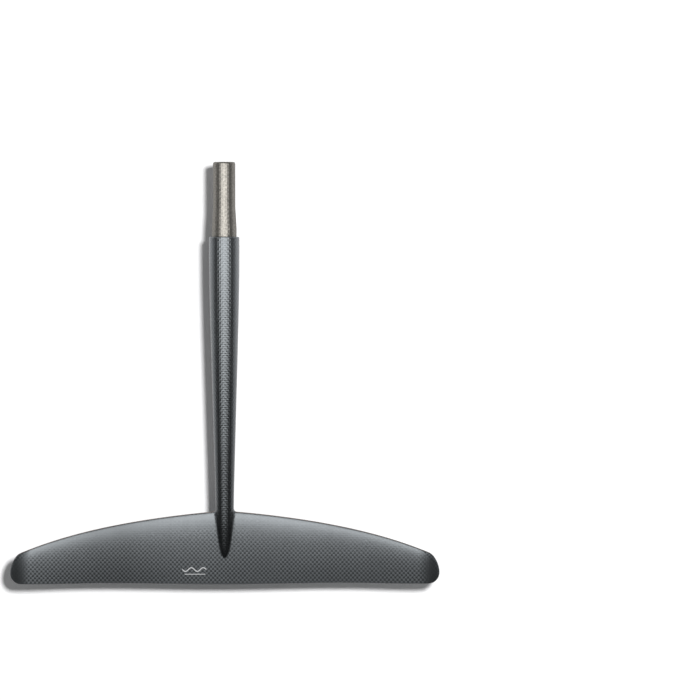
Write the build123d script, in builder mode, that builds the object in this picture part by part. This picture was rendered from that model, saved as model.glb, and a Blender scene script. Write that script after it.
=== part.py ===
from build123d import *
import math
import os

os.makedirs("parts", exist_ok=True)

# Tail wing (stabiliser) of a hydrofoil with its tail boom and plug-in spigot.
# Frame: origin on the boom axis at the boom's front rim, where the spigot starts.
# +Y points forward along the spigot, +X to starboard (right), +Z up. Millimetres.
# "Aft" distances run along -Y from the origin; "half span" is the distance from the YZ plane.

# ------------------------------------------------------------------ walls and gaps
SKIN = 1.0                   # moulded skin of the wing and the boom
BOND = 0.30                  # glue joint between the two shells
BOND_SHARE = 0.004           # most the half joint may take, share of the chord
TUBE_WALL = 1.15             # unidirectional tube inside the boom
SLIP = 0.05                  # glue gap between mating inner pieces
END_GAP = 0.1                # gap at the span ends of rovings, batten and tip blocks
ROD_GAP = 0.3                # gap at each end of the foam rod in the boom
NOTCH_OVERCUT = 0.3          # how far the cap notches run out past the foam's surface

# ------------------------------------------------------------------ wing
SPAN = 395.0                 # tip to tip, measured flat from above
HALF = SPAN / 2

# planform, aft distances; the edge terms are {power of the span share: millimetres}
LE_ROOT = 252.8
LE_SWEEP = 16.5              # nearly straight sweep of the leading edge
LE_SOFTEN = 0.04             # span share over which that sweep is rounded at the centre
LE_TERMS = {2: 16.85, 4: 9.67}
TE_ROOT = 319.6
TE_TERMS = {2: -10.72, 4: 26.1, 6: -16.39}
Y_TIP = 309.0                # outermost point of the tip
LE_ROUND = 188.3             # half span where the leading edge starts to round into the tip
TE_ROUND = 188.0             # the same for the trailing edge

# section
T_UP = 0.0445                # greatest height above the chord line, share of the chord
T_LOW = 0.0500               # greatest depth below it
TE_THICK = 0.85              # trailing edge thickness at the root
OUTER_T = [1.0, 0.9, 0.78, 0.65, 0.52, 0.4, 0.3, 0.2, 0.12, 0.065, 0.03, 0.011, 0.003]

# tips: a gentle rise, then the last stretch turns down
RISE_START = 120.0
RISE = 2.5                   # height gained between RISE_START and DROOP_START
DROOP_START = 178.0
RISE_LEN = DROOP_START - RISE_START
DROOP_LEN = HALF - DROOP_START
DROOP = 6.0
DROOP_POWER = 1.9

# hollow between the skins: chord shares at the root and their change out to its end
CAVITY_END = 187.0
CAVITY_T0, CAVITY_T0_CHANGE = 0.060, 0.11
CAVITY_T1, CAVITY_T1_CHANGE = 0.76, -0.26
FOAM_TRIM = 0.001            # foam's clearance to the hollow's front and rear, share of the chord
TIP_TRIM = 0.002             # the same for the tip blocks

# spar, share of the chord
SPAR_T0, SPAR_T1 = 0.28, 0.44
CAP = 0.6                    # cap thickness
UNDER_CAP = CAP + 2 * SLIP   # depth from the inside of the skin to just past a cap
WEB_T0, WEB_T1 = 0.34, 0.38
CORE_END = 165.0             # half span where foam and spar stop and the tip block starts

# leading edge roving and trailing edge batten, share of the chord
ROVING_T0, ROVING_T1 = 0.018, 0.042
BATTEN_T0, BATTEN_T1 = 0.80, 0.90
STRIP_H = 0.0068             # half height of both, share of the chord
ROVING_START = 9.5           # half span where the rovings start, just outside the boom

# half span stations, in runs that are lofted one after the other
INNER_RUN = [8, 18, 32, 50, 70, 90, 110, 130, 145]
ROOT_RUN = [0] + INNER_RUN
MID_RUN = [145, 152, 160, 169, DROOP_START]
DROOP_RUN = [DROOP_START, 181, 184]
TIP_RUN = [187.5, 190.2, 192.6, 194.5, 195.9, 196.8, 197.3]
OUTER_RUNS = [ROOT_RUN, MID_RUN, DROOP_RUN + [TIP_RUN[0]], TIP_RUN]
CAVITY_RUNS = [ROOT_RUN, MID_RUN, DROOP_RUN + [CAVITY_END]]
TIP_BLOCK_RUNS = [
    [CORE_END + END_GAP, 169, 173.5, DROOP_START],
    DROOP_RUN + [CAVITY_END - END_GAP],
]

# ------------------------------------------------------------------ boom and spigot
# (distance aft of the rim, radius); the last ones are the nose that sinks into the wing
BOOM = [
    (0, 13.9), (12, 13.98), (30, 13.88), (50, 13.58), (76, 13.0), (104, 12.27),
    (150, 10.95), (196, 9.66), (240, 8.5), (250, 8.35), (257, 8.17), (265, 7.85),
    (273, 7.12), (281.5, 6.1), (286, 5.4), (290.4, 4.4), (293.6, 3.25), (296, 1.75),
    (297.2, 0),
]
BOOM_TANGENTS = [(0.2, -12), (-1, -0.05)]    # outline's direction at the rim and the nose
RIM_ROUND = 0.9
BORE_END = 289.0             # the shells' bore stops inside the nose
TUBE_END = 240.0             # the inner tube stops here and the root block starts
BLOCK_TENON = 18.0           # length of the root block inside the tube

SPIGOT_LEN = 69.0
LAND_R = 11.4                # radius at the rim
LAND_LEN = 8.0               # straight land at the rim
NOSE_R = 10.3                # straight land at the free end
NOSE_FROM = 27.0
SPIGOT_ROUND = 2.0
TENON_LEN = 50.0             # length glued inside the boom
TENON_CHAMFER = 1.0
TENON_EASE = 0.05            # extra clearance where the chamfer starts

# threaded insert, radial, from the underside
INSERT_Y = 40.0
INSERT_R = 4.5
INSERT_LEN = 9.0
INSERT_MOUTH = 9.2           # depth of its mouth below the spigot's axis
THREAD_R = 2.5               # M6 minor radius
THREAD_DEPTH = 8.0
GROOVES = (2.6, 5.6)         # heights of the grooves above the mouth
GROOVE_WIDTH = 1.0
GROOVE_DEPTH = 0.5
OVERCUT = 1.0                # how far cutting shapes start outside the material

# ------------------------------------------------------------------ printed mark
MARK_X0, MARK_X1 = -39.0, -17.0
MARK_Y = 306.0               # aft distance of the wave's middle
MARK_WAVE = 1.7              # half height of the wave
MARK_PITCH = 2 * math.pi * 2 / (MARK_X1 - MARK_X0)    # two full waves, radians per mm
MARK_STROKE = 0.9
MARK_STEPS = 36
MARK_LINE = (2.3, 2.9)       # front and rear of the line, aft of the wave's rearmost middle
MARK_FILM = 0.08
MARK_LIFT = 0.01             # gap between skin and film


# ------------------------------------------------------------------ wing surface
def span_terms(x, terms):
    share = abs(x) / HALF
    return sum(size * share ** power for power, size in terms.items())


def rounded_to_tip(x, y, start):
    """Bends an edge at aft distance y round an elliptic arc to the tip point."""
    q = min(1.0, max(0.0, (abs(x) - start) / (HALF - start)))
    return y + (Y_TIP - y) * (1 - math.sqrt(1 - q * q))


def leading(x):
    sweep = LE_SWEEP * (math.sqrt((x / HALF) ** 2 + LE_SOFTEN ** 2) - LE_SOFTEN)
    return rounded_to_tip(x, LE_ROOT + sweep + span_terms(x, LE_TERMS), LE_ROUND)


def trailing(x):
    return rounded_to_tip(x, TE_ROOT + span_terms(x, TE_TERMS), TE_ROUND)


def chord(x):
    return trailing(x) - leading(x)


def aft(x, t):
    return leading(x) + t * chord(x)


def tip_shares(x):
    """How far x is through the rise and through the droop, each from 0 to 1."""
    rise = max(0.0, (min(abs(x), DROOP_START) - RISE_START) / RISE_LEN)
    droop = max(0.0, (abs(x) - DROOP_START) / DROOP_LEN)
    return rise, droop


def mean_z(x):
    rise, droop = tip_shares(x)
    run_on = 2 * RISE / RISE_LEN * max(0.0, abs(x) - DROOP_START)
    return RISE * rise ** 2 + run_on - DROOP * droop ** DROOP_POWER


def mean_slope(x):
    rise, droop = tip_shares(x)
    slope = 2 * RISE * rise / RISE_LEN
    slope -= DROOP * DROOP_POWER * droop ** (DROOP_POWER - 1) / DROOP_LEN
    return slope if x >= 0 else -slope


def section_plane(x):
    """Plane across the wing: local x runs aft, local y along the wing's own normal."""
    angle = math.atan(mean_slope(x))
    z_dir = (-math.cos(angle), 0, -math.sin(angle))
    return Plane(origin=(x, 0, mean_z(x)), x_dir=(0, -1, 0), z_dir=z_dir)


def shape(t):
    """NACA four-digit thickness form with a closed trailing edge, peaking near 1."""
    return 10 * (
        0.2969 * math.sqrt(t) - 0.126 * t - 0.3516 * t ** 2 + 0.2843 * t ** 3 - 0.1036 * t ** 4
    )


def height(x, t, side):
    """Distance from the mean plane to the outer surface, side +1 above and -1 below."""
    edge = TE_THICK / 2 * chord(x) / (TE_ROOT - LE_ROOT)
    return (T_UP if side > 0 else T_LOW) * chord(x) * shape(t) + edge * t


def glue(x):
    """Half the thickness of the glue joint between the shells; it thins out at the tip."""
    return min(BOND / 2, BOND_SHARE * chord(x))


# ------------------------------------------------------------------ limits of inner pieces
# Chord limits are functions of x; height limits are functions of x and the chord share t.
def at(share, mm=0.0):
    """A share of the chord plus a distance in millimetres."""
    return lambda x: share + mm / chord(x)


def at_aft(distance):
    """The chord share at an aft distance, itself a function of x."""
    return lambda x: (distance(x) - leading(x)) / chord(x)


def cavity_front(trim=0.0):
    return lambda x: CAVITY_T0 + CAVITY_T0_CHANGE * (abs(x) / CAVITY_END) ** 3 + trim


def cavity_rear(trim=0.0):
    return lambda x: CAVITY_T1 + CAVITY_T1_CHANGE * (abs(x) / CAVITY_END) ** 3 - trim


def inside(side, gap):
    """Height of the skin's inner face, moved in by gap."""
    return lambda x, t: side * (height(x, t, side) - SKIN - gap)


def strip_face(side, gap):
    """Height of a roving's or the batten's channel, moved in by gap."""
    return lambda x, t: side * (STRIP_H * chord(x) - gap)


def above_skin(gap):
    return lambda x, t: height(x, t, 1) + gap


def core_runs(x0, x1=CORE_END):
    """Station runs for a piece inside the wing, from half span x0 to x1."""
    return [[x0] + [x for x in INNER_RUN if x > x0 + 2], [145, 152, 160, x1]]


# ------------------------------------------------------------------ wing sections and lofts
def half_sections(stations, side):
    """Sections of the upper (side +1) or lower (-1) half, down to the glue joint."""
    sections = []
    for x in stations:
        nose = (leading(x), side * glue(x))
        tail = (trailing(x), side * glue(x))
        skin = [(aft(x, t), side * height(x, t, side)) for t in OUTER_T] + [nose]
        with BuildSketch(section_plane(x)) as section:
            with BuildLine():
                Spline(*skin)
                Line(nose, tail)
                Line(tail, skin[0])
            make_face()
        sections.append(section.sketch)
    return sections


def glue_sections(stations):
    """Sections of the flat glue joint between the two halves."""
    sections = []
    for x in stations:
        y0, y1, half = leading(x), trailing(x), glue(x)
        with BuildSketch(section_plane(x)) as section:
            with BuildLine():
                Polyline((y0, -half), (y1, -half), (y1, half), (y0, half), close=True)
            make_face()
        sections.append(section.sketch)
    return sections


def strip_sections(stations, t0, t1, top, low, steps):
    """Sections between chord limits t0 and t1 and height limits top and low."""
    sections = []
    for x in stations:
        shares = [t0(x) + (t1(x) - t0(x)) * i / steps for i in range(steps + 1)]
        upper = [(aft(x, t), top(x, t)) for t in shares]
        lower = [(aft(x, t), low(x, t)) for t in reversed(shares)]
        with BuildSketch(section_plane(x)) as section:
            with BuildLine():
                Spline(*upper)
                Line(upper[-1], lower[0])
                Spline(*lower)
                Line(lower[-1], upper[0])
            make_face()
        sections.append(section.sketch)
    return sections


def loft_strips(runs, t0, t1, top, low, steps=6):
    """Lofts each run into the part being built."""
    for run in runs:
        loft(strip_sections(run, t0, t1, top, low, steps))


def full_span(runs, t0, t1, top, low, steps=6):
    """A strip lofted to starboard and mirrored to port."""
    with BuildPart() as strip:
        loft_strips(runs, t0, t1, top, low, steps)
        mirror(strip.part, about=Plane.YZ)
    return strip


# ------------------------------------------------------------------ boom outlines
def radius_at(y):
    """Boom radius at a distance aft, straight between the stations."""
    for (ya, ra), (yb, rb) in zip(BOOM, BOOM[1:]):
        if ya <= y <= yb:
            return ra + (rb - ra) * (y - ya) / (yb - ya)


def boom_stations(inset, y0, y1):
    """(radius, y) points of the boom between y0 and y1 aft of the rim, moved in by inset."""
    between = [(r - inset, -y) for y, r in BOOM if y0 < y < y1]
    return [(radius_at(y0) - inset, -y0)] + between + [(radius_at(y1) - inset, -y1)]


def tube_bore(gap):
    """(radius, y) points of the inside of the inner tube, moved in by gap."""
    return [
        (min(LAND_R + SLIP, r - SKIN - TUBE_WALL) - gap, -y) for y, r in BOOM if y <= TUBE_END
    ]


def close_on_axis(points):
    """Draws a spline through the points and closes it along the boom axis."""
    start, end = (0, points[0][1]), (0, points[-1][1])
    Spline(*points)
    Line(points[-1], end)
    Line(end, start)
    Line(start, points[0])


# ------------------------------------------------------------------ export
def finish(builder, label):
    """Labels a finished piece and writes it."""
    builder.part.label = label
    export_step(builder.part, f"parts/{label}.step")


def finish_pair(right, name):
    """Writes a starboard piece and its port mirror image."""
    finish(right, f"right_{name}")
    with BuildPart() as left:
        mirror(right.part, about=Plane.YZ)
    finish(left, f"left_{name}")


# ------------------------------------------------------------------ master forms, not exported
with BuildPart() as boom_form:
    with BuildSketch(Plane.XY):
        with BuildLine():
            outline = [(r, -y) for y, r in BOOM]
            Spline(*outline, tangents=BOOM_TANGENTS)
            Line(outline[-1], (0, 0))
            Line((0, 0), outline[0])
        make_face()
    revolve(axis=Axis.Y)
    fillet(boom_form.edges().filter_by(GeomType.CIRCLE).sort_by(Axis.Y)[-1], RIM_ROUND)

with BuildPart() as boom_top:
    add(boom_form.part)
    split(bisect_by=Plane.XY.offset(BOND / 2), keep=Keep.TOP)

with BuildPart() as boom_bottom:
    add(boom_form.part)
    split(bisect_by=Plane.XY.offset(-BOND / 2), keep=Keep.BOTTOM)

with BuildPart() as boom_slab:
    add(boom_form.part)
    split(bisect_by=Plane.XY.offset(BOND / 2), keep=Keep.BOTTOM)
    split(bisect_by=Plane.XY.offset(-BOND / 2), keep=Keep.TOP)

with BuildPart() as bore_form:
    # the inside of the boom skin
    with BuildSketch(Plane.XY):
        with BuildLine():
            close_on_axis(boom_stations(SKIN, 0, BORE_END))
        make_face()
    revolve(axis=Axis.Y)

# the hollow between the skins
cavity_form = full_span(CAVITY_RUNS, cavity_front(), cavity_rear(), inside(1, 0), inside(-1, 0))

with BuildPart() as insert_pockets:
    # the channels for the rovings and the trailing edge batten
    for x0, t0, t1 in ((ROVING_START, ROVING_T0, ROVING_T1), (0, BATTEN_T0, BATTEN_T1)):
        loft_strips(core_runs(x0), at(t0), at(t1), strip_face(1, 0), strip_face(-1, 0), 3)
    mirror(insert_pockets.part, about=Plane.YZ)

# the room the spar takes fore and aft, glue gap included
SPAR_ROOM = (at(SPAR_T0, -SLIP), at(SPAR_T1, SLIP))

# the room of the whole spar near the root, used to slot the root block
spar_envelope = full_span([[0, 8, 18]], *SPAR_ROOM, inside(1, 0), inside(-1, 0))

with BuildPart() as cap_envelope:
    # the room of the two spar caps, used to notch the foam
    for run in core_runs(0):
        loft_strips([run], *SPAR_ROOM, inside(1, -NOTCH_OVERCUT), inside(1, UNDER_CAP))
        loft_strips([run], *SPAR_ROOM, inside(-1, UNDER_CAP), inside(-1, -NOTCH_OVERCUT))


# ------------------------------------------------------------------ moulded shells
def moulded_piece(label, sections_of, boom_part):
    """A layer of the wing joined to its layer of the boom, then hollowed."""
    with BuildPart() as piece:
        for run in OUTER_RUNS:
            loft(sections_of(run))
        mirror(piece.part, about=Plane.YZ)
        add(boom_part)
        for hollow in (bore_form, cavity_form, insert_pockets):
            add(hollow.part, mode=Mode.SUBTRACT)
    finish(piece, label)


moulded_piece("upper_shell", lambda run: half_sections(run, 1), boom_top.part)
moulded_piece("lower_shell", lambda run: half_sections(run, -1), boom_bottom.part)
# structural adhesive between the shells
moulded_piece("seam_bond", glue_sections, boom_slab.part)

# ------------------------------------------------------------------ inside the boom
with BuildPart() as boom_tube:
    # unidirectional tube, bonded to the inside of the boom skin
    with BuildSketch(Plane.XY):
        with BuildLine():
            close_on_axis(boom_stations(SKIN + SLIP, 0, BORE_END))
        make_face()
    revolve(axis=Axis.Y)
    split(bisect_by=Plane(origin=(0, -TUBE_END, 0), z_dir=(0, 1, 0)), keep=Keep.TOP)
    with BuildSketch(Plane.XY):
        with BuildLine():
            close_on_axis(tube_bore(0))
        make_face()
    revolve(axis=Axis.Y, mode=Mode.SUBTRACT)
finish(boom_tube, "boom_tube")

with BuildPart() as boom_core:
    # foam rod that keeps water out of the tube
    rod_start = TENON_LEN + ROD_GAP
    rod_end = TUBE_END - BLOCK_TENON - ROD_GAP
    with BuildSketch(Plane.XY):
        with BuildLine():
            close_on_axis(boom_stations(SKIN + TUBE_WALL + SLIP, rod_start, rod_end))
        make_face()
    revolve(axis=Axis.Y)
finish(boom_core, "boom_core")

with BuildPart() as spigot:
    # plug that enters the fuselage, with its tenon inside the tube
    tail_radius = radius_at(TENON_LEN) - SKIN - TUBE_WALL - 2 * SLIP
    with BuildSketch(Plane.XY):
        with BuildLine():
            Polyline(
                (0, SPIGOT_LEN),
                (NOSE_R, SPIGOT_LEN),
                (NOSE_R, NOSE_FROM),
                (LAND_R, LAND_LEN),
                (LAND_R, 0),
                tube_bore(2 * SLIP)[0],
                (tail_radius - TENON_EASE, -TENON_LEN + TENON_CHAMFER),
                (tail_radius - TENON_CHAMFER, -TENON_LEN),
                (0, -TENON_LEN),
                close=True,
            )
        make_face()
    revolve(axis=Axis.Y)
    fillet(spigot.edges().filter_by(GeomType.CIRCLE).sort_by(Axis.Y)[-1], SPIGOT_ROUND)
    # hole for the threaded insert
    hole_start = NOSE_R + OVERCUT
    with BuildSketch(Plane.XY.offset(-hole_start)):
        with Locations((0, INSERT_Y)):
            Circle(INSERT_R + SLIP)
    extrude(amount=hole_start - INSERT_MOUTH + INSERT_LEN + SLIP, mode=Mode.SUBTRACT)
finish(spigot, "spigot")

with BuildPart() as threaded_insert:
    # M6 insert bonded in the spigot from its underside, blind, with two anti-pull grooves
    with BuildSketch(Plane.XY.offset(-INSERT_MOUTH)):
        with Locations((0, INSERT_Y)):
            Circle(INSERT_R)
    extrude(amount=INSERT_LEN)
    with BuildSketch(Plane.XY.offset(-INSERT_MOUTH)):
        with Locations((0, INSERT_Y)):
            Circle(THREAD_R)
    extrude(amount=THREAD_DEPTH, mode=Mode.SUBTRACT)
    for groove in GROOVES:
        with BuildSketch(Plane.XY.offset(-INSERT_MOUTH + groove)):
            with Locations((0, INSERT_Y)):
                Circle(INSERT_R + OVERCUT)
                Circle(INSERT_R - GROOVE_DEPTH, mode=Mode.SUBTRACT)
        extrude(amount=GROOVE_WIDTH, mode=Mode.SUBTRACT)
finish(threaded_insert, "threaded_insert")

with BuildPart() as root_block:
    # solid block that joins the boom tube to the wing spar, slotted over the spar
    neck_y = -TUBE_END + BLOCK_TENON
    neck_inset = SKIN + TUBE_WALL + SLIP
    neck_front = (radius_at(-neck_y) - neck_inset, neck_y)
    neck_rear = (radius_at(TUBE_END) - neck_inset, -TUBE_END - SLIP)
    body = boom_stations(SKIN + SLIP, TUBE_END + SLIP, BORE_END - SLIP)
    with BuildSketch(Plane.XY):
        with BuildLine():
            Line((0, neck_y), neck_front)
            Line(neck_front, neck_rear)
            Line(neck_rear, body[0])
            Spline(*body)
            Line(body[-1], (0, body[-1][1]))
            Line((0, body[-1][1]), (0, neck_y))
        make_face()
    revolve(axis=Axis.Y)
    add(spar_envelope.part, mode=Mode.SUBTRACT)
finish(root_block, "root_block")

# ------------------------------------------------------------------ spar
SPAR_CHORD = (at(SPAR_T0), at(SPAR_T1))
upper_spar_cap = full_span(core_runs(0), *SPAR_CHORD, inside(1, SLIP), inside(1, CAP + SLIP))
finish(upper_spar_cap, "upper_spar_cap")

lower_spar_cap = full_span(core_runs(0), *SPAR_CHORD, inside(-1, CAP + SLIP), inside(-1, SLIP))
finish(lower_spar_cap, "lower_spar_cap")

spar_web = full_span(
    core_runs(0), at(WEB_T0), at(WEB_T1), inside(1, UNDER_CAP), inside(-1, UNDER_CAP)
)
finish(spar_web, "spar_web")


# ------------------------------------------------------------------ foam and tip blocks
def foam_core(t0, t1):
    """Starboard foam between two chord limits, cleared for the boom and the spar caps."""
    with BuildPart() as core:
        loft_strips(core_runs(SLIP), t0, t1, inside(1, SLIP), inside(-1, SLIP))
        add(bore_form.part, mode=Mode.SUBTRACT)
        add(cap_envelope.part, mode=Mode.SUBTRACT)
    return core


finish_pair(foam_core(cavity_front(FOAM_TRIM), at(WEB_T0, -SLIP)), "front_core")
finish_pair(foam_core(at(WEB_T1, SLIP), cavity_rear(FOAM_TRIM)), "rear_core")

with BuildPart() as right_tip_block:
    # dense filled resin where the tip turns down
    loft_strips(
        TIP_BLOCK_RUNS,
        cavity_front(TIP_TRIM), cavity_rear(TIP_TRIM),
        inside(1, SLIP), inside(-1, SLIP),
    )
finish_pair(right_tip_block, "tip_block")

# ------------------------------------------------------------------ edge strips
STRIP_FACES = (strip_face(1, SLIP), strip_face(-1, SLIP))

with BuildPart() as right_roving:
    loft_strips(
        core_runs(ROVING_START + END_GAP, CORE_END - END_GAP),
        at(ROVING_T0, SLIP), at(ROVING_T1, -SLIP), *STRIP_FACES, steps=3,
    )
finish_pair(right_roving, "leading_edge_roving")

# flat unidirectional batten that stiffens the thin trailing edge
trailing_edge_strip = full_span(
    core_runs(0, CORE_END - END_GAP),
    at(BATTEN_T0, SLIP), at(BATTEN_T1, -SLIP), *STRIP_FACES, steps=3,
)
finish(trailing_edge_strip, "trailing_edge_strip")


# ------------------------------------------------------------------ printed mark
def wave_edge(side):
    """Aft distance of the wave's front (-1) or rear (+1) edge, its stroke even on slopes."""
    def edge(x):
        phase = MARK_PITCH * (x - MARK_X0)
        slope = MARK_WAVE * MARK_PITCH * math.cos(phase)
        half_stroke = MARK_STROKE / 2 * math.sqrt(1 + slope ** 2)
        return MARK_Y + MARK_WAVE * math.sin(phase) + side * half_stroke
    return edge


def line_edge(offset):
    return lambda x: MARK_Y + MARK_WAVE + offset


with BuildPart() as size_decal:
    # plain wave with a straight line aft of it, a thin film on the port upper skin
    film = (above_skin(MARK_LIFT + MARK_FILM), above_skin(MARK_LIFT))
    wave_run = [MARK_X0 + (MARK_X1 - MARK_X0) * i / MARK_STEPS for i in range(MARK_STEPS + 1)]
    line_run = [MARK_X0 + 2, MARK_X0 + 8, MARK_X1 - 1]
    loft_strips([wave_run], at_aft(wave_edge(-1)), at_aft(wave_edge(1)), *film, steps=3)
    line_front, line_rear = (at_aft(line_edge(offset)) for offset in MARK_LINE)
    loft_strips([line_run], line_front, line_rear, *film, steps=3)
finish(size_decal, "size_decal")
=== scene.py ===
"""A carbon wing moulded in one with a tapering hollow boom.

Two shells, upper and lower, are bonded along a parting line. The wing spans X (starboard is +X),
the boom runs along Y from its open mouth at Y = 0 aft to the wing, and Z is up.
Shape functions work in millimetres and take y as the distance aft of the mouth, so a mesh has -y.
"""
import math

import bpy
import numpy as np
from mathutils import Matrix, Vector


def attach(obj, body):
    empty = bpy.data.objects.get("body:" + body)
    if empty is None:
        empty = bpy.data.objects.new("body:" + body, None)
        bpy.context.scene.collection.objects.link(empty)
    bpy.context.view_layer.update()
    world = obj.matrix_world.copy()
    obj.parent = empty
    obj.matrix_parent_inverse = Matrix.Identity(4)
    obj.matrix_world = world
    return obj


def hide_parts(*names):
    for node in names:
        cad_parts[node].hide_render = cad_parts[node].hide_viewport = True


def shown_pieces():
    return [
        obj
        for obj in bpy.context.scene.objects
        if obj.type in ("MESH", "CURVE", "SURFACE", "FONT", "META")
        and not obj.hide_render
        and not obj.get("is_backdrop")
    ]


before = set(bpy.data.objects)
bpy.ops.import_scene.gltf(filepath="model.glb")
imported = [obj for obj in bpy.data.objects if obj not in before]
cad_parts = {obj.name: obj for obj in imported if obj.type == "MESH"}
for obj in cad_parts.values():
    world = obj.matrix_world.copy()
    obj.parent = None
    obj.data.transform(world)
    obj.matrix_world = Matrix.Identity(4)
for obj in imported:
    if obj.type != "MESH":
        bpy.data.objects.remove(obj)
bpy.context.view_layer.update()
MM = 0.001

# ------------------------------------------------------------------ dimensions, mm
HALF = 395.0 / 2                                # half the span
LE_ROOT, TE_ROOT, Y_TIP = 252.8, 319.6, 309.0   # leading edge, trailing edge, tip: distance aft
LE_ROUND, TE_ROUND = 188.3, 188.0               # x where each edge starts to round into the tip
THICK_UPPER, THICK_LOWER = 0.0445, 0.0500       # greatest height over the mean line, per chord
TE_THICK = 0.85                                 # thickness of the trailing edge at the root
RISE_START, RISE = 120.0, 2.5                   # the mean line rises from this x,
DROOP_START, DROOP, DROOP_POWER = 178.0, 6.0, 1.9   # then droops to the tip
BOND = 0.30           # gap between the shells
BOND_PER_CHORD = 0.004    # limit on half the gap where the chord is short
SKIN = 1.0
FILLET = 2.1          # root fillet between boom and wing
FLARE = 3.0           # plan radius where the boom meets the leading edge
RIM_ROUND = 0.9       # rounding of the boom's mouth
# boom outline: (distance aft, radius)
BOOM = [
    (0, 13.9), (12, 13.98), (30, 13.88), (50, 13.58), (76, 13.0), (104, 12.27), (150, 10.95),
    (196, 9.66), (240, 8.5), (250, 8.35), (257, 8.17), (265, 7.85), (273, 7.12), (281.5, 6.1),
    (286, 5.4), (290.4, 4.4), (293.6, 3.25), (296, 1.75), (297.2, 0),
]


# ------------------------------------------------------------------ shape functions
def pchip(stations, values):
    """Monotone cubic interpolation through the stations."""
    stations, values = np.array(stations, float), np.array(values, float)
    step = np.diff(stations)
    rise = np.diff(values) / step
    slope = np.zeros(len(stations))
    for i in range(1, len(stations) - 1):
        if rise[i - 1] * rise[i] > 0:
            before, after = 2 * step[i] + step[i - 1], step[i] + 2 * step[i - 1]
            slope[i] = (before + after) / (before / rise[i - 1] + after / rise[i])
    slope[0], slope[-1] = rise[0], rise[-1]

    def curve(at):
        at = np.clip(np.asarray(at, float), stations[0], stations[-1])
        k = np.clip(np.searchsorted(stations, at, side="right") - 1, 0, len(step) - 1)
        s = (at - stations[k]) / step[k]
        return ((1 + 2 * s) * (1 - s) ** 2 * values[k] + s * (1 - s) ** 2 * step[k] * slope[k]
                + s * s * (3 - 2 * s) * values[k + 1] + s * s * (s - 1) * step[k] * slope[k + 1])
    return curve


# interpolating the squared radius keeps the closed end round
radius_squared = pchip([y for y, _ in BOOM], [size * size for _, size in BOOM])


def radius(y):
    return np.sqrt(np.maximum(radius_squared(y), 0))


def round_tip(x, y, start):
    """Bend an edge in a quarter ellipse to the tip, from x = start."""
    q = np.clip((x - start) / (HALF - start), 0, 1)
    return y + (Y_TIP - y) * (1 - np.sqrt(1 - q * q))


def leading(x):
    x = np.abs(np.asarray(x, float))
    u = x / HALF
    y = LE_ROOT + 16.5 * (np.sqrt(u * u + 0.0016) - 0.04) + 16.85 * u ** 2 + 9.67 * u ** 4
    return round_tip(x, y, LE_ROUND)


def trailing(x):
    x = np.abs(np.asarray(x, float))
    u = x / HALF
    y = TE_ROOT - 10.72 * u ** 2 + 26.1 * u ** 4 - 16.39 * u ** 6
    return round_tip(x, y, TE_ROUND)


SIDE_X = float(radius(LE_ROOT - FLARE))     # the boom's side, where the flare starts
RING_Y = float(leading(SIDE_X)) - FLARE     # the boom's last whole ring


def leading_flared(x):
    """Leading edge with the small plan radius that runs it into the boom's side."""
    x = np.abs(np.asarray(x, float))
    out = np.clip(x - SIDE_X, 0, FLARE)
    forward = FLARE - np.sqrt(np.maximum(FLARE ** 2 - (FLARE - out) ** 2, 0))
    return np.where(x <= SIDE_X, RING_Y, leading(np.maximum(x, SIDE_X)) - forward)


def mean_parts(x):
    """Distance from the middle, and how far through the rise and the droop (0 to 1) it is."""
    x = np.abs(x)
    rising = np.clip((x - RISE_START) / (DROOP_START - RISE_START), 0, 1)
    drooping = np.clip((x - DROOP_START) / (HALF - DROOP_START), 0, 1)
    return x, rising, drooping


def mean_z(x):
    x, rising, drooping = mean_parts(x)
    straight = 2 * RISE / (DROOP_START - RISE_START) * np.maximum(x - DROOP_START, 0)
    return RISE * rising ** 2 + straight - DROOP * drooping ** DROOP_POWER


def mean_slope(x):
    _, rising, drooping = mean_parts(x)
    up = 2 * RISE * rising / (DROOP_START - RISE_START)
    down = DROOP * DROOP_POWER * drooping ** (DROOP_POWER - 1) / (HALF - DROOP_START)
    return np.sign(x) * (up - down)


def section(t):
    """NACA four-digit thickness along the chord, scaled to a peak of 1."""
    t = np.clip(t, 0, 1)
    return 10 * (0.2969 * np.sqrt(t) - 0.126 * t - 0.3516 * t ** 2
                 + 0.2843 * t ** 3 - 0.1036 * t ** 4)


def height(x, t, side):
    """Height of the skin from the mean line at chord fraction t."""
    chord = trailing(x) - leading_flared(x)
    thick = THICK_UPPER if side > 0 else THICK_LOWER
    return thick * chord * section(t) + TE_THICK / 2 * chord / (TE_ROOT - LE_ROOT) * t


def half_gap(x):
    return np.minimum(BOND / 2, BOND_PER_CHORD * (trailing(x) - leading(x)))


def over_boom(x, y, wing):
    """Skin height where the wing runs into the boom: the boom's circle, a fillet, the wing.

    Also gives the x at which the circle meets the fillet.
    """
    size = radius(y)
    x = np.abs(x)
    fillet = np.minimum(FILLET, 1.4 * np.maximum(wing, 0))
    proud = size > wing
    centre_x = np.sqrt(np.maximum((size + fillet) ** 2 - (wing + fillet) ** 2, 0))
    touch_x = centre_x * size / np.maximum(size + fillet, 1e-9)
    circle = np.sqrt(np.maximum(size * size - x * x, 0))
    arc = (wing + fillet) - np.sqrt(np.maximum(fillet ** 2 - (centre_x - x) ** 2, 0))
    z = np.where(x <= touch_x, circle, np.where(x < centre_x, arc, wing))
    return np.where(proud, z, wing), np.where(proud, touch_x, 0.0)


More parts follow.
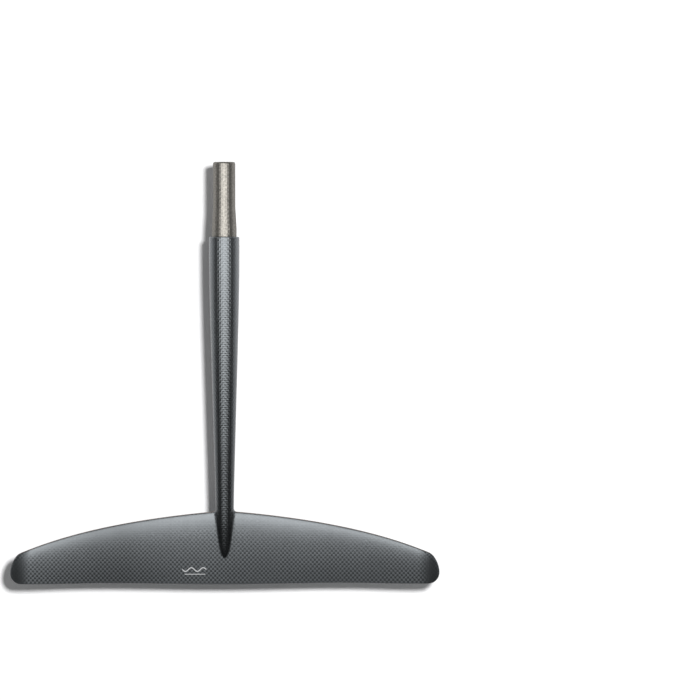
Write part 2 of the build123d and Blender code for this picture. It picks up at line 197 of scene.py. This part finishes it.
# ------------------------------------------------------------------ mesh helpers
def new_mesh(name, verts, faces, sharp):
    mesh = bpy.data.meshes.new(name)
    mesh.from_pydata([tuple(v) for v in np.asarray(verts, float) * MM], [], faces)
    mesh.validate()
    mesh.update()
    piece = bpy.data.objects.new(name, mesh)
    bpy.context.scene.collection.objects.link(piece)
    mesh.shade_smooth()
    mesh.set_sharp_from_angle(angle=math.radians(sharp))
    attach(piece, "root")
    return piece


def point_floats(piece, name, values):
    attribute = piece.data.attributes.new(name, "FLOAT", "POINT")
    attribute.data.foreach_set("value", np.asarray(values, np.float32))


# ------------------------------------------------------------------ stations
MAIN_START, TIP_START = 16, 186     # x where the even columns start and end
X_END = HALF - 0.02                 # last station, just short of the tip
FLARE_ANGLES = np.linspace(0, math.pi / 2, 12)[1:]
FLARE_X = SIDE_X + FLARE * (1 - np.cos(FLARE_ANGLES))


def tip_stations(count):
    """x stations closing up towards the tip."""
    return TIP_START + (X_END - TIP_START) * np.sin(np.linspace(0, math.pi / 2, count))


def ring_angles(size):
    """Angles of a half ring, from the starboard parting face round to the port one."""
    first = math.asin(BOND / 2 / size)
    quarter = first + (math.pi / 2 - first) * np.linspace(0, 1, QUARTER_STEPS + 1)
    return np.concatenate([quarter, math.pi - quarter[-2::-1]])


QUARTER_STEPS = 36
N_RING = 2 * QUARTER_STEPS + 1
OUTER_X = np.concatenate([
    FLARE_X,
    np.linspace(FLARE_X[-1], MAIN_START, 16)[1:],
    np.linspace(MAIN_START, TIP_START, 108)[1:],
    tip_stations(22)[1:],
])
N_OUT = len(OUTER_X)
# wing columns from starboard tip to port tip: at the leading edge, and evenly over the boom
X_FIRST = np.concatenate([OUTER_X[::-1], SIDE_X * np.cos(ring_angles(SIDE_X)), -OUTER_X])
X_EVEN = np.concatenate([OUTER_X[::-1], np.linspace(SIDE_X, -SIDE_X, N_RING), -OUTER_X])
STARBOARD = slice(0, N_OUT)
RING = slice(N_OUT, N_OUT + N_RING)
PORT = slice(N_OUT + N_RING, None)
EVEN_BY = 0.12        # chord fraction by which the columns are even
# rows as chord fractions, closer at the leading edge
ROWS = np.round(np.concatenate([
    0.30 * (1 - np.cos(np.linspace(0, math.pi / 2, 17))),
    np.linspace(0.30, 0.97, 50)[1:],
    [0.98, 0.99, 1.0],
]), 6)


# ------------------------------------------------------------------ the two moulded shells
def boom_profile():
    """(distance aft, radius) of the boom's rings: the flat and round of the rim, then aft."""
    mouth = BOOM[0][1]
    profile = [(0.0, mouth - SKIN), (0.0, mouth - RIM_ROUND)]
    for angle in np.linspace(0, math.pi / 2, 8)[1:]:
        y = RIM_ROUND * (1 - math.cos(angle))
        profile.append((y, float(radius(y)) - RIM_ROUND + RIM_ROUND * math.sin(angle)))
    aft = np.linspace(RIM_ROUND, RING_Y, 122)[1:]
    return profile + [(float(y), float(radius(y))) for y in aft]


def wing_grid(side):
    """Outer skin points by row and column, arc round the boom, and distance inside its circle."""
    grid = np.zeros((len(ROWS), len(X_FIRST), 3))
    arc = np.zeros(grid.shape[:2])
    inside = np.zeros(grid.shape[:2])
    for j, t in enumerate(ROWS):
        even = min(1.0, t / EVEN_BY)
        x = X_FIRST * (1 - even) + X_EVEN * even
        y = leading_flared(X_FIRST) * (1 - t) + trailing(x) * t
        front = leading_flared(x)
        local_t = np.clip((y - front) / (trailing(x) - front), 0, 1)
        z, touch_x = over_boom(x, y, height(x, local_t, side))
        z = np.maximum(z, half_gap(x))
        angle = np.arctan(mean_slope(x))
        grid[j, :, 0] = x - np.sin(angle) * side * z
        grid[j, :, 1] = -y
        grid[j, :, 2] = mean_z(x) + np.cos(angle) * side * z
        inside[j] = touch_x - np.abs(x)
        size = np.maximum(radius(y), 1e-6)
        arc[j] = size * np.arcsin(np.clip(x / size, -1, 1))
    return grid, arc, inside


def wing_inner(grid, side):
    """Inner skin: one skin thickness in, and flat on the parting face where that would cross it."""
    normal = np.cross(np.gradient(grid, axis=1), np.gradient(grid, axis=0))
    normal /= np.maximum(np.linalg.norm(normal, axis=2, keepdims=True), 1e-12)
    normal *= np.sign((normal[..., 2] * side).mean())
    inner = grid - SKIN * normal
    x = np.clip(grid[..., 0], -HALF, HALF)
    gap = half_gap(x)
    base = mean_z(np.clip(inner[..., 0], -HALF, HALF))
    crossing = (inner[..., 2] - base) * side < gap
    inner[..., 2] = np.where(crossing, base + side * gap, inner[..., 2])
    parting = grid.copy()
    parting[..., 2] = mean_z(x) + side * gap
    clear_of_boom = np.abs(x) > 14
    inner = np.where((crossing & clear_of_boom)[..., None], parting, inner)
    inner[-1] = parting[-1]
    return inner


def shell(name, side):
    """One half of the moulding: outer skin, inner skin, and the parting faces between."""
    verts, faces, arcs, on_boom = [], [], [], []

    def add(points, arc, inside):
        first = len(verts)
        verts.extend(map(tuple, points))
        arcs.extend(arc)
        on_boom.extend(inside)
        return list(range(first, len(verts)))

    def add_ring(y, size, arc_radius):
        angles = ring_angles(size)
        points = [(size * math.cos(a), -y, side * size * math.sin(a)) for a in angles]
        well_inside = [5.0] * len(angles)
        return add(points, [arc_radius * (math.pi / 2 - a) for a in angles], well_inside)

    def face(*corners):
        loop = list(dict.fromkeys(corners))     # shared corners make a triangle, or nothing
        if len(loop) > 2:
            faces.append(tuple(loop if side > 0 else loop[::-1]))

    def join_rows(outer, inner):
        for k in range(len(outer) - 1):
            out0, out1, in0, in1 = outer[k], outer[k + 1], inner[k], inner[k + 1]
            for c in range(len(out0) - 1):
                face(out0[c], out0[c + 1], out1[c + 1], out1[c])
                face(in0[c + 1], in0[c], in1[c], in1[c + 1])
            face(in0[0], out0[0], out1[0], in1[0])
            face(out0[-1], in0[-1], in1[-1], out1[-1])

    profile = boom_profile()
    boom_out = [add_ring(y, size, float(radius(y))) for y, size in profile]
    boom_in = boom_out[:1] * 2
    for y, _ in profile[2:]:
        size = float(radius(y)) - SKIN
        boom_in.append(add_ring(y, size, size))

    # the boom's last ring is the wing's first row between the flares
    grid, arc, inside = wing_grid(side)
    grid[0, RING] = [verts[v] for v in boom_out[-1]]
    inner = wing_inner(grid, side)
    starboard, port = [add(grid[0, part], arc[0, part], inside[0, part])
                       for part in (STARBOARD, PORT)]
    wing_out = [starboard + boom_out[-1] + port]
    wing_in = [starboard + boom_in[-1] + port]
    for j in range(1, len(ROWS)):
        wing_out.append(add(grid[j], arc[j], inside[j]))
        wing_in.append(add(inner[j], arc[j], inside[j]))

    join_rows(boom_out, boom_in)
    join_rows(wing_out, wing_in)
    out, under = wing_out[-1], wing_in[-1]
    for c in range(len(out) - 1):
        face(out[c], out[c + 1], under[c + 1], under[c])
    # triangles between the boom's parting faces and the flares
    out, under = wing_out[0], wing_in[0]
    face(out[N_OUT - 1], out[N_OUT], under[N_OUT])
    last = N_OUT + N_RING - 1
    face(out[last], out[last + 1], under[last])

    piece = new_mesh(name, verts, faces, sharp=38)
    point_floats(piece, "arc", arcs)
    point_floats(piece, "on_boom", on_boom)
    return piece


upper = shell("upper_shell_skin", 1)
lower = shell("lower_shell_skin", -1)
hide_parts("upper_shell")
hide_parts("lower_shell")

# ------------------------------------------------------------------ glue line
SEAM_LOW, SEAM_PROUD = 0.05, 0.45     # how far the glue stands out: elsewhere, leading edge
SEAM_INSET = 1.0                      # how far it reaches in
BOOM_POINTS = 120


def seam_path():
    """Starboard parting line in plan, and how far the glue stands out at each point."""
    extra = SEAM_PROUD - SEAM_LOW
    rim_y, rim_in = 0.8, 0.25         # at the rim the line is drawn in a little
    points = [(float(radius(y)) if y > rim_y else float(radius(rim_y)) - rim_in, y, SEAM_LOW)
              for y in np.linspace(0.35, RING_Y, BOOM_POINTS)]
    points += [(x, float(leading_flared(x)), SEAM_LOW + extra * angle / (math.pi / 2))
               for x, angle in zip(FLARE_X, FLARE_ANGLES)]
    points += [(x, float(leading(x)), SEAM_PROUD)
               for x in np.linspace(SIDE_X + FLARE, TIP_START, 150)[1:]]
    tip = tip_stations(30)
    points += [(x, float(leading(x)), SEAM_PROUD - extra * (x - TIP_START) / (HALF - TIP_START))
               for x in tip[1:]]
    back = np.concatenate([tip[::-1][1:], np.linspace(TIP_START, 0, 140)[1:]])
    points += [(x, float(trailing(x)), SEAM_LOW) for x in back]
    points = np.array(points)
    return points[:, :2] * (1, -1), points[:, 2]


def seam_lines():
    """The adhesive squeezed out all along the parting line, as a starboard and a port strip."""
    path, proud = seam_path()
    along = np.gradient(path, axis=0)
    along /= np.linalg.norm(along, axis=1, keepdims=True)
    outward = np.stack([-along[:, 1], along[:, 0]], 1)
    outward[-1] = (0, -1)
    verts, faces = [], []
    first_wing_point = BOOM_POINTS + len(FLARE_X)
    for k, (path_x, path_y) in enumerate(path):
        x = np.clip(path_x, 0, X_END)
        angle = math.atan(float(mean_slope(x)))
        gap = float(half_gap(x))
        up = np.array([-math.sin(angle), 0, math.cos(angle)])
        out_x, out_y = outward[k]
        out = np.array([out_x * math.cos(angle), out_y, out_x * math.sin(angle)])
        centre = np.array([path_x, path_y, float(mean_z(x))])
        inset = SEAM_INSET
        if k >= first_wing_point:
            inset = min(inset, 0.3 * float(trailing(x) - leading(x)) + 0.02)
        shoulder = proud[k] * 0.55
        # (distance out, height in half gaps) round the strip
        outline = [(shoulder, 1), (proud[k], 0.35), (proud[k], -0.35), (shoulder, -1),
                   (-inset, -0.98), (-inset, 0.98)]
        verts += [centre + out * distance + up * gap * level for distance, level in outline]
    for k in range(len(path) - 1):
        for m in range(6):
            n = (m + 1) % 6
            faces.append((k * 6 + m, k * 6 + n, (k + 1) * 6 + n, (k + 1) * 6 + m))
    faces.append(tuple(range(6))[::-1])
    faces.append(tuple(range(len(verts) - 6, len(verts))))
    mirrored = np.array(verts) * (-1, 1, 1)
    turned = [corners[::-1] for corners in faces]
    return [new_mesh("seam_line_starboard", verts, faces, sharp=50),
            new_mesh("seam_line_port", mirrored, turned, sharp=50)]


seams = seam_lines()
for strip in seams:
    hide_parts("seam_bond")


# ------------------------------------------------------------------ node helpers
def operator(operation, swapped=False):
    def build(self, other):
        pair = (other, self) if swapped else (self, other)
        return self.tree.math(operation, *pair)
    return build


class Value:
    """An output socket; arithmetic on it adds Math nodes to its tree."""
    __add__, __radd__ = operator("ADD"), operator("ADD", swapped=True)
    __sub__, __rsub__ = operator("SUBTRACT"), operator("SUBTRACT", swapped=True)
    __mul__, __truediv__ = operator("MULTIPLY"), operator("DIVIDE")

    def __init__(self, tree, socket):
        self.tree, self.socket = tree, socket


class Tree:
    """The node tree of a material or world."""

    def __init__(self, owner, output):
        owner.use_nodes = True
        self.owner, self.graph = owner, owner.node_tree
        self.graph.nodes.clear()
        self.output = self.graph.nodes.new("ShaderNode" + output)

    def put(self, socket, value):
        if isinstance(value, Value):
            self.graph.links.new(value.socket, socket)
        else:
            socket.default_value = value

    def node(self, kind, *values, named=None, out=0, **settings):
        """Add a node; its inputs are given in order, or in `named` by name or index."""
        node = self.graph.nodes.new("ShaderNode" + kind)
        for name, setting in settings.items():
            setattr(node, name, setting)
        for key, value in [*enumerate(values), *(named or {}).items()]:
            self.put(node.inputs[key], value)
        return Value(self, node.outputs[out])

    def math(self, operation, *values, clamp=False):
        return self.node("Math", *values, operation=operation, use_clamp=clamp)

    def vec(self, operation, *values):
        return self.node("VectorMath", *values, operation=operation)

    def scale(self, vector, factor):
        return self.node("VectorMath", vector, named={"Scale": factor}, operation="SCALE")

    def geometry(self, out):
        return self.node("NewGeometry", out=out)

    def position_mm(self):
        return self.scale(self.geometry("Position"), 1 / MM)

    def attribute(self, name):
        return self.node("Attribute", out="Fac", attribute_name=name)

    def xyz(self, vector):
        node = self.graph.nodes.new("ShaderNodeSeparateXYZ")
        self.put(node.inputs[0], vector)
        return [Value(self, socket) for socket in node.outputs]

    def combine(self, x, y, z):
        return self.node("CombineXYZ", x, y, z)

    def stretched(self, x, y, z):
        """Position in mm with each axis scaled."""
        axes = self.xyz(self.position_mm())
        return self.combine(*[axis * factor for axis, factor in zip(axes, (x, y, z))])

    def noise(self, vector, scale=1.0, detail=2.0, roughness=0.6, out="Fac"):
        named = {"Vector": vector, "Scale": scale, "Detail": detail, "Roughness": roughness}
        return self.node("TexNoise", named=named, out=out)

    def white(self, vector):
        return self.node("TexWhiteNoise", named={"Vector": vector}, out="Value")

    def voronoi(self, vector, scale):
        return self.node("TexVoronoi", named={"Vector": vector, "Scale": scale}, out="Distance")

    def ramp(self, value, stops):
        """Colour ramp through {position: colour}."""
        node = self.graph.nodes.new("ShaderNodeValToRGB")
        elements = node.color_ramp.elements
        while len(elements) < len(stops):
            elements.new(0.5)
        for element, (position, colour) in zip(elements, stops.items()):
            element.position = position
            element.color = (*colour, 1.0)
        self.put(node.inputs[0], value)
        return Value(self, node.outputs[0])

    def mix(self, factor, first, second, kind="FLOAT"):
        index = {"FLOAT": 2, "VECTOR": 4, "RGBA": 6}[kind]
        named = {0: factor, index: first, index + 1: second}
        return self.node("Mix", named=named, out=index // 2 - 1, data_type=kind)

    def bump(self, height, strength, distance=0.0002, **normal):
        named = {"Height": height, "Strength": strength, "Distance": distance, **normal}
        return self.node("Bump", named=named)

    def surface(self, shader):
        self.put(self.output.inputs[0], shader)
        return self.owner

    def principled(self, **inputs):
        named = {key.replace("_", " "): value for key, value in inputs.items()}
        return self.surface(self.node("BsdfPrincipled", named=named))

    def plain_weave(self, u, v):
        """Tow numbers, place within the tow (-0.5 to 0.5) each way, and 1 where u tows are on top."""
        u_tow, v_tow = self.math("FLOOR", u), self.math("FLOOR", v)
        u_in, v_in = self.math("FRACT", u) - 0.5, self.math("FRACT", v) - 0.5
        u_on_top = self.math("FLOORED_MODULO", u_tow + v_tow, 2.0)
        return u_tow, v_tow, u_in, v_in, u_on_top

    def tilt(self, u_slope, v_slope):
        """The normal tilted by two slopes, and the surface directions they run along."""
        normal = self.geometry("Normal")
        u_way = self.vec("NORMALIZE", self.vec("CROSS_PRODUCT", (0.0, 1.0, 0.0), normal))
        v_way = self.vec("NORMALIZE", self.vec("CROSS_PRODUCT", normal, u_way))
        lean = self.vec("ADD", self.scale(u_way, u_slope), self.scale(v_way, v_slope))
        return self.vec("NORMALIZE", self.vec("ADD", normal, lean)), u_way, v_way


def new_material(name):
    return Tree(bpy.data.materials.new(name), "OutputMaterial")


# ------------------------------------------------------------------ carbon cloth
TOW_SPAN, TOW_CHORD = 1.95, 2.07     # tow pitch across the wing and fore and aft, mm
WANDER = 0.25                        # how far the tows stray, mm
CROWN_WING, CROWN_BOOM = 0.19, 1.05  # strength of the tows' crown on each part
CROWN_LONG = 0.42                    # crown's slope along a tow
CROWN_FLAT, CROWN_EDGE = 0.05, 0.3   # and across it: in the middle, and extra at the edges
FIBRE_SLOPE = 0.06                   # slope of the fibre lines
FIBRE_FINE, FIBRE_LONG = 9.0, 0.35   # fibre line frequency across and along a tow, per mm
DIP_START = 0.40                     # where a tow dips, from its middle, in tows
FIBRE_COLOUR = (0.187, 0.202, 0.214)
COAT = 0.35


def carbon_weave():
    tree = new_material("carbon_weave_satin")
    place = tree.position_mm()
    x, y, _ = tree.xyz(place)
    on_boom = tree.math("GREATER_THAN", tree.attribute("on_boom"), 0.0)
    # cloth coordinates: straight across the wing, round the boom on the boom
    across_mm = tree.mix(on_boom, x, tree.attribute("arc"))
    wander = tree.noise(tree.scale(place, 0.045), detail=1.0, roughness=0.5, out="Color")
    stray_x, stray_y, _ = tree.xyz(tree.vec("SUBTRACT", wander, (0.5, 0.5, 0.5)))
    u_tow, v_tow, u_in, v_in, spanwise = tree.plain_weave(
        (across_mm + stray_x * WANDER) / TOW_SPAN, (y + stray_y * WANDER) / TOW_CHORD)

    # the crowned tow: even along its length, rounder at its edges, with fibre lines in it
    along = tree.mix(spanwise, v_in, u_in)
    across = tree.mix(spanwise, u_in, v_in)
    crown = tree.mix(on_boom, CROWN_WING, CROWN_BOOM)
    slope_along = along * CROWN_LONG * crown
    fibre = tree.noise(tree.mix(
        spanwise,
        tree.combine(across_mm * FIBRE_FINE, y * FIBRE_LONG, 0.0),
        tree.combine(across_mm * FIBRE_LONG, y * FIBRE_FINE, 3.7), "VECTOR")) - 0.5
    slope_across = across * CROWN_FLAT + across * across * across * CROWN_EDGE
    slope_across = slope_across * crown + fibre * FIBRE_SLOPE
    normal, u_way, v_way = tree.tilt(tree.mix(spanwise, slope_across, slope_along),
                                     tree.mix(spanwise, slope_along, slope_across))

    # one value per tow, and resin dips where tows cross
    tow_value = tree.mix(spanwise, tree.white(tree.combine(u_tow, 0.0, 1.0)),
                         tree.white(tree.combine(0.0, v_tow, 2.0)))

    def dip_at(offset, steepness):
        past = tree.math("ABSOLUTE", offset) - DIP_START
        return tree.math("MULTIPLY", past, steepness, clamp=True)

    dip = tree.math("MAXIMUM", dip_at(across, steepness=9.0), dip_at(along, steepness=7.0) * 0.8)
    dip_depth = tree.mix(on_boom, 0.05, 0.18)
    cloud = tree.noise(tree.scale(place, 0.018), detail=3.0, roughness=0.55)
    # brightness: tow by tow, broad clouds, dips, fibre lines
    shade = 0.90 + (tow_value - 0.5) * 0.06
    shade = shade * (0.86 + cloud * 0.28)
    shade = shade * (1.0 - dip * dip_depth)
    shade = shade * (1.0 + fibre * 0.35)
    # painted shade: the boom's colour and coat are darkened aft, down to a floor, for its highlight
    # fading aft away from the softbox
    boom_painted_fade = tree.math("MAXIMUM", 0.44, 0.88 + y * 0.0019)
    # painted shade: the wing's colour and coat are darkened in a broad patch 105 mm to port, 50 mm to
    # its falloff, for a dip in the light reflected there
    off = (x + 105.0) / 50.0
    painted_dark_patch = 1.0 - tree.math("EXPONENT", off * off * -1.0) * 0.24
    # painted shade on both parts: darkens the base colour and the coat's weight
    painted_dimming = tree.mix(on_boom, painted_dark_patch, boom_painted_fade)
    ripple = tree.noise(tree.scale(place, 1.0), scale=0.9, roughness=0.5)
    return tree.principled(
        Base_Color=tree.scale(FIBRE_COLOUR, shade * painted_dimming), Metallic=0.92,
        Roughness=tree.mix(on_boom, 0.42, 0.31), Anisotropic=tree.mix(on_boom, 0.62, 0.55),
        Tangent=tree.mix(spanwise, u_way, v_way, "VECTOR"), Normal=normal,
        Coat_Weight=painted_dimming * COAT, Coat_Roughness=0.30 + cloud * 0.12, Coat_IOR=1.45,
        Coat_Normal=tree.bump(ripple, strength=0.05))


# ------------------------------------------------------------------ other materials
def resin():
    tree = new_material("tan_adhesive")
    place = tree.position_mm()
    mottle = tree.noise(place, scale=0.35, detail=4.0)
    colour = tree.ramp(mottle, {0.25: (0.045, 0.024, 0.012), 0.55: (0.11, 0.062, 0.034),
                                0.8: (0.20, 0.13, 0.08)})
    return tree.principled(
        Base_Color=colour, Roughness=0.3 + mottle * 0.25, IOR=1.5,
        Normal=tree.bump(tree.noise(place, scale=1.3, detail=3.0), strength=0.5),
        Coat_Weight=0.3, Coat_Roughness=0.2)


def raw_spigot():
    """Sanded bare laminate: beige-grey, the cloth still felt, pits and turning scratches."""
    radius_mm, tow = 10.6, 2.0
    steep, gentle = 0.32, 0.08      # crown's slope across and along a tow
    tree = new_material("sanded_laminate")
    place = tree.position_mm()
    x, y, z = tree.xyz(place)
    arc = tree.math("ARCTAN2", x, z) * radius_mm
    _, _, u_in, v_in, u_on_top = tree.plain_weave(arc / tow, y / tow)
    coarse = tree.noise(place, scale=0.55, detail=3.0)
    fine = tree.noise(place, scale=2.2)
    pits = tree.voronoi(tree.combine(arc, y, 0.0), scale=0.8)
    colour = tree.ramp(coarse * 0.45 + (fine * 0.30 + pits * 0.35), {
        0.30: (0.125, 0.12, 0.112), 0.46: (0.21, 0.20, 0.184),
        0.62: (0.27, 0.257, 0.234), 0.80: (0.33, 0.314, 0.283)})
    colour = tree.mix(u_on_top * 0.10, colour, (0.10, 0.098, 0.094, 1.0), "RGBA")
    normal, _, _ = tree.tilt(u_in * tree.mix(u_on_top, gentle, steep),
                             v_in * tree.mix(u_on_top, steep, gentle))
    scratches = tree.noise(tree.combine(arc * 0.18, y * 6.0, 0.0))
    relief = coarse * 0.6 + (fine * 0.35 + scratches * 0.25)
    return tree.principled(
        Base_Color=colour, Roughness=0.30 + fine * 0.14, IOR=1.5, Metallic=0.88,
        Specular_Tint=(0.5, 0.5, 0.5, 1.0), Normal=tree.bump(relief, strength=0.35, Normal=normal))


def unidirectional(name, stretch, tangent):
    """Unidirectional carbon: fibres along the axis stretched least."""
    tree = new_material(name)
    fibre = tree.noise(tree.stretched(*stretch), detail=3.0)
    colour = tree.ramp(fibre, {0.3: (0.012, 0.013, 0.014), 0.7: (0.06, 0.062, 0.066)})
    return tree.principled(
        Base_Color=colour, Metallic=0.5, Roughness=0.42, Anisotropic=0.6,
        Tangent=tree.combine(*tangent), Normal=tree.bump(fibre, strength=0.3, distance=0.0001),
        Coat_Weight=0.3, Coat_Roughness=0.3)


def foam():
    tree = new_material("closed_cell_foam")
    cell = tree.voronoi(tree.position_mm(), scale=1.6)
    colour = tree.ramp(cell, {0.0: (0.52, 0.45, 0.27), 0.55: (0.74, 0.67, 0.45),
                              1.0: (0.84, 0.79, 0.60)})
    return tree.principled(Base_Color=colour, Roughness=0.9,
                           Normal=tree.bump(cell, strength=0.8, distance=0.0003))


def filled():
    tree = new_material("cast_filled_epoxy")
    mottle = tree.noise(tree.position_mm(), scale=0.5, detail=4.0)
    colour = tree.ramp(mottle, {0.3: (0.11, 0.105, 0.10), 0.7: (0.22, 0.21, 0.20)})
    return tree.principled(Base_Color=colour, Roughness=0.55,
                           Normal=tree.bump(mottle, strength=0.3))


def steel():
    tree = new_material("turned_stainless")
    lines = tree.noise(tree.stretched(0.6, 0.6, 12.0), detail=3.0)
    colour = tree.ramp(lines, {0.3: (0.48, 0.47, 0.46), 0.7: (0.66, 0.65, 0.64)})
    return tree.principled(Base_Color=colour, Metallic=1.0, Roughness=0.22 + lines * 0.2,
                           Normal=tree.bump(lines, strength=0.2, distance=0.0001))


def print_film():
    tree = new_material("white_print")
    mottle = tree.noise(tree.position_mm(), scale=2.2, detail=3.0)
    colour = tree.ramp(mottle, {0.3: (0.70, 0.72, 0.74), 0.6: (0.86, 0.87, 0.88)})
    return tree.principled(
        Base_Color=colour, Roughness=0.45, Coat_Weight=0.4, Coat_Roughness=0.3,
        Normal=tree.bump(mottle, strength=0.15, distance=0.00005))


def give(piece, material):
    piece.data.materials.clear()
    piece.data.materials.append(material)


carbon, adhesive = carbon_weave(), resin()
for skin in (upper, lower):
    give(skin, carbon)
for strip in seams:
    give(strip, adhesive)

# (material, the frame's pieces made of it)
PIECES = [
    (carbon, "upper_shell lower_shell"),
    (adhesive, "seam_bond"),
    (raw_spigot(), "spigot"),
    (unidirectional("unidirectional_span", stretch=(0.25, 7.0, 7.0), tangent=(0.0, 1.0, 0.0)),
     "upper_spar_cap lower_spar_cap spar_web left_leading_edge_roving "
     "right_leading_edge_roving trailing_edge_strip"),
    (unidirectional("unidirectional_boom", stretch=(7.0, 0.25, 7.0), tangent=(1.0, 0.0, 0.0)),
     "boom_tube"),
    (foam(), "boom_core left_front_core right_front_core left_rear_core right_rear_core"),
    (filled(), "root_block left_tip_block right_tip_block"),
    (steel(), "threaded_insert"),
    (print_film(), "size_decal"),
]
material_of = {name: material for material, names in PIECES for name in names.split()}
for name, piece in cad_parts.items():
    give(piece, material_of[name])

# ------------------------------------------------------------------ stage, metres
FLOOR_Z, FLOOR_HALF = -0.030, 6
scene = bpy.context.scene


def make_floor():
    """Pale square floor, seen through from below."""
    mesh = bpy.data.meshes.new("floor")
    corners = [(-1, -1), (1, -1), (1, 1), (-1, 1)]
    mesh.from_pydata([(x * FLOOR_HALF, y * FLOOR_HALF, FLOOR_Z) for x, y in corners],
                     [], [(0, 1, 2, 3)])
    plane = bpy.data.objects.new("floor", mesh)
    scene.collection.objects.link(plane)
    plane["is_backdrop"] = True
    tree = new_material("pale_floor")
    pale = tree.node("BsdfDiffuse", (0.92, 0.92, 0.925, 1.0))
    clear = tree.node("BsdfTransparent")
    give(plane, tree.surface(tree.node("MixShader", tree.geometry("Backfacing"), pale, clear)))
    return plane


floor = make_floor()
floor_group = bpy.data.collections.new("floor_only")
object_group = bpy.data.collections.new("object_only")
floor_group.objects.link(floor)
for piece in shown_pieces():
    object_group.objects.link(piece)


# ------------------------------------------------------------------ lights
def add_light(name, kind, group, **settings):
    """A light that falls on one group only."""
    light = bpy.data.lights.new(name, kind)
    for key, setting in settings.items():
        setattr(light, key, setting)
    lamp = bpy.data.objects.new(name, light)
    scene.collection.objects.link(lamp)
    lamp.light_linking.receiver_collection = group
    return lamp


def aim(lamp, location, target, turn=0):
    """Point the lamp at the target, then turn it about Z by this many degrees."""
    lamp.location = location
    lamp.rotation_mode = "QUATERNION"
    toward = (Vector(target) - Vector(location)).to_track_quat("-Z", "Y")
    spin = Matrix.Rotation(math.radians(turn), 3, "Z").to_quaternion()
    lamp.rotation_quaternion = spin @ toward


# overhead softbox
aim(add_light("softbox", "AREA", object_group, shape="RECTANGLE", size=0.70, size_y=0.745,
              energy=6.1, color=(1.0, 0.995, 0.985)),
    location=(-0.02, 0.165, 0.55), target=(-0.02, 0.165, 0.0), turn=12)
# weak light from below
aim(add_light("underlight", "AREA", object_group, shape="RECTANGLE", size=0.6, size_y=0.6,
              energy=0.7, color=(0.97, 0.98, 1.0)),
    location=(0.0, -0.12, -0.70), target=(0.0, -0.12, 0.0))
# round lamp high to starboard and forward, for the shadow on the floor
aim(add_light("key", "AREA", floor_group, shape="DISK", size=0.78, energy=222.0),
    location=(1.15, 0.70, 4.37), target=(0.0, -0.1, 0.0))
# even light on the floor, which sets how dark the shadow is
add_light("floor_fill", "SUN", floor_group, energy=0.60, angle=math.radians(170))


def studio_world():
    """White to the camera, a faint cool light to everything else."""
    tree = Tree(bpy.data.worlds.new("studio"), "OutputWorld")
    light = tree.node("Background", (0.95, 0.98, 1.0, 1), 0.038)
    backdrop = tree.node("Background", (1, 1, 1, 1), 1.0)
    to_camera = tree.node("LightPath", out="Is Camera Ray")
    return tree.surface(tree.node("MixShader", to_camera, light, backdrop))


scene.world = studio_world()

# ------------------------------------------------------------------ camera, looking straight down
SENSOR = 36                # mm
DISTANCE = 12.0
VIEW_WIDTH = 0.644         # width seen at that distance
lens = bpy.data.cameras.new("camera")
lens.sensor_width = SENSOR
lens.lens = SENSOR * DISTANCE / VIEW_WIDTH
lens.clip_end = 30
camera = bpy.data.objects.new("camera", lens)
camera.location = (0.11553, -0.10430, DISTANCE)
camera.rotation_euler = (0, 0, math.radians(-0.1))
scene.collection.objects.link(camera)
scene.camera = camera
scene.view_settings.view_transform = "Standard"
scene.view_settings.look = "None"
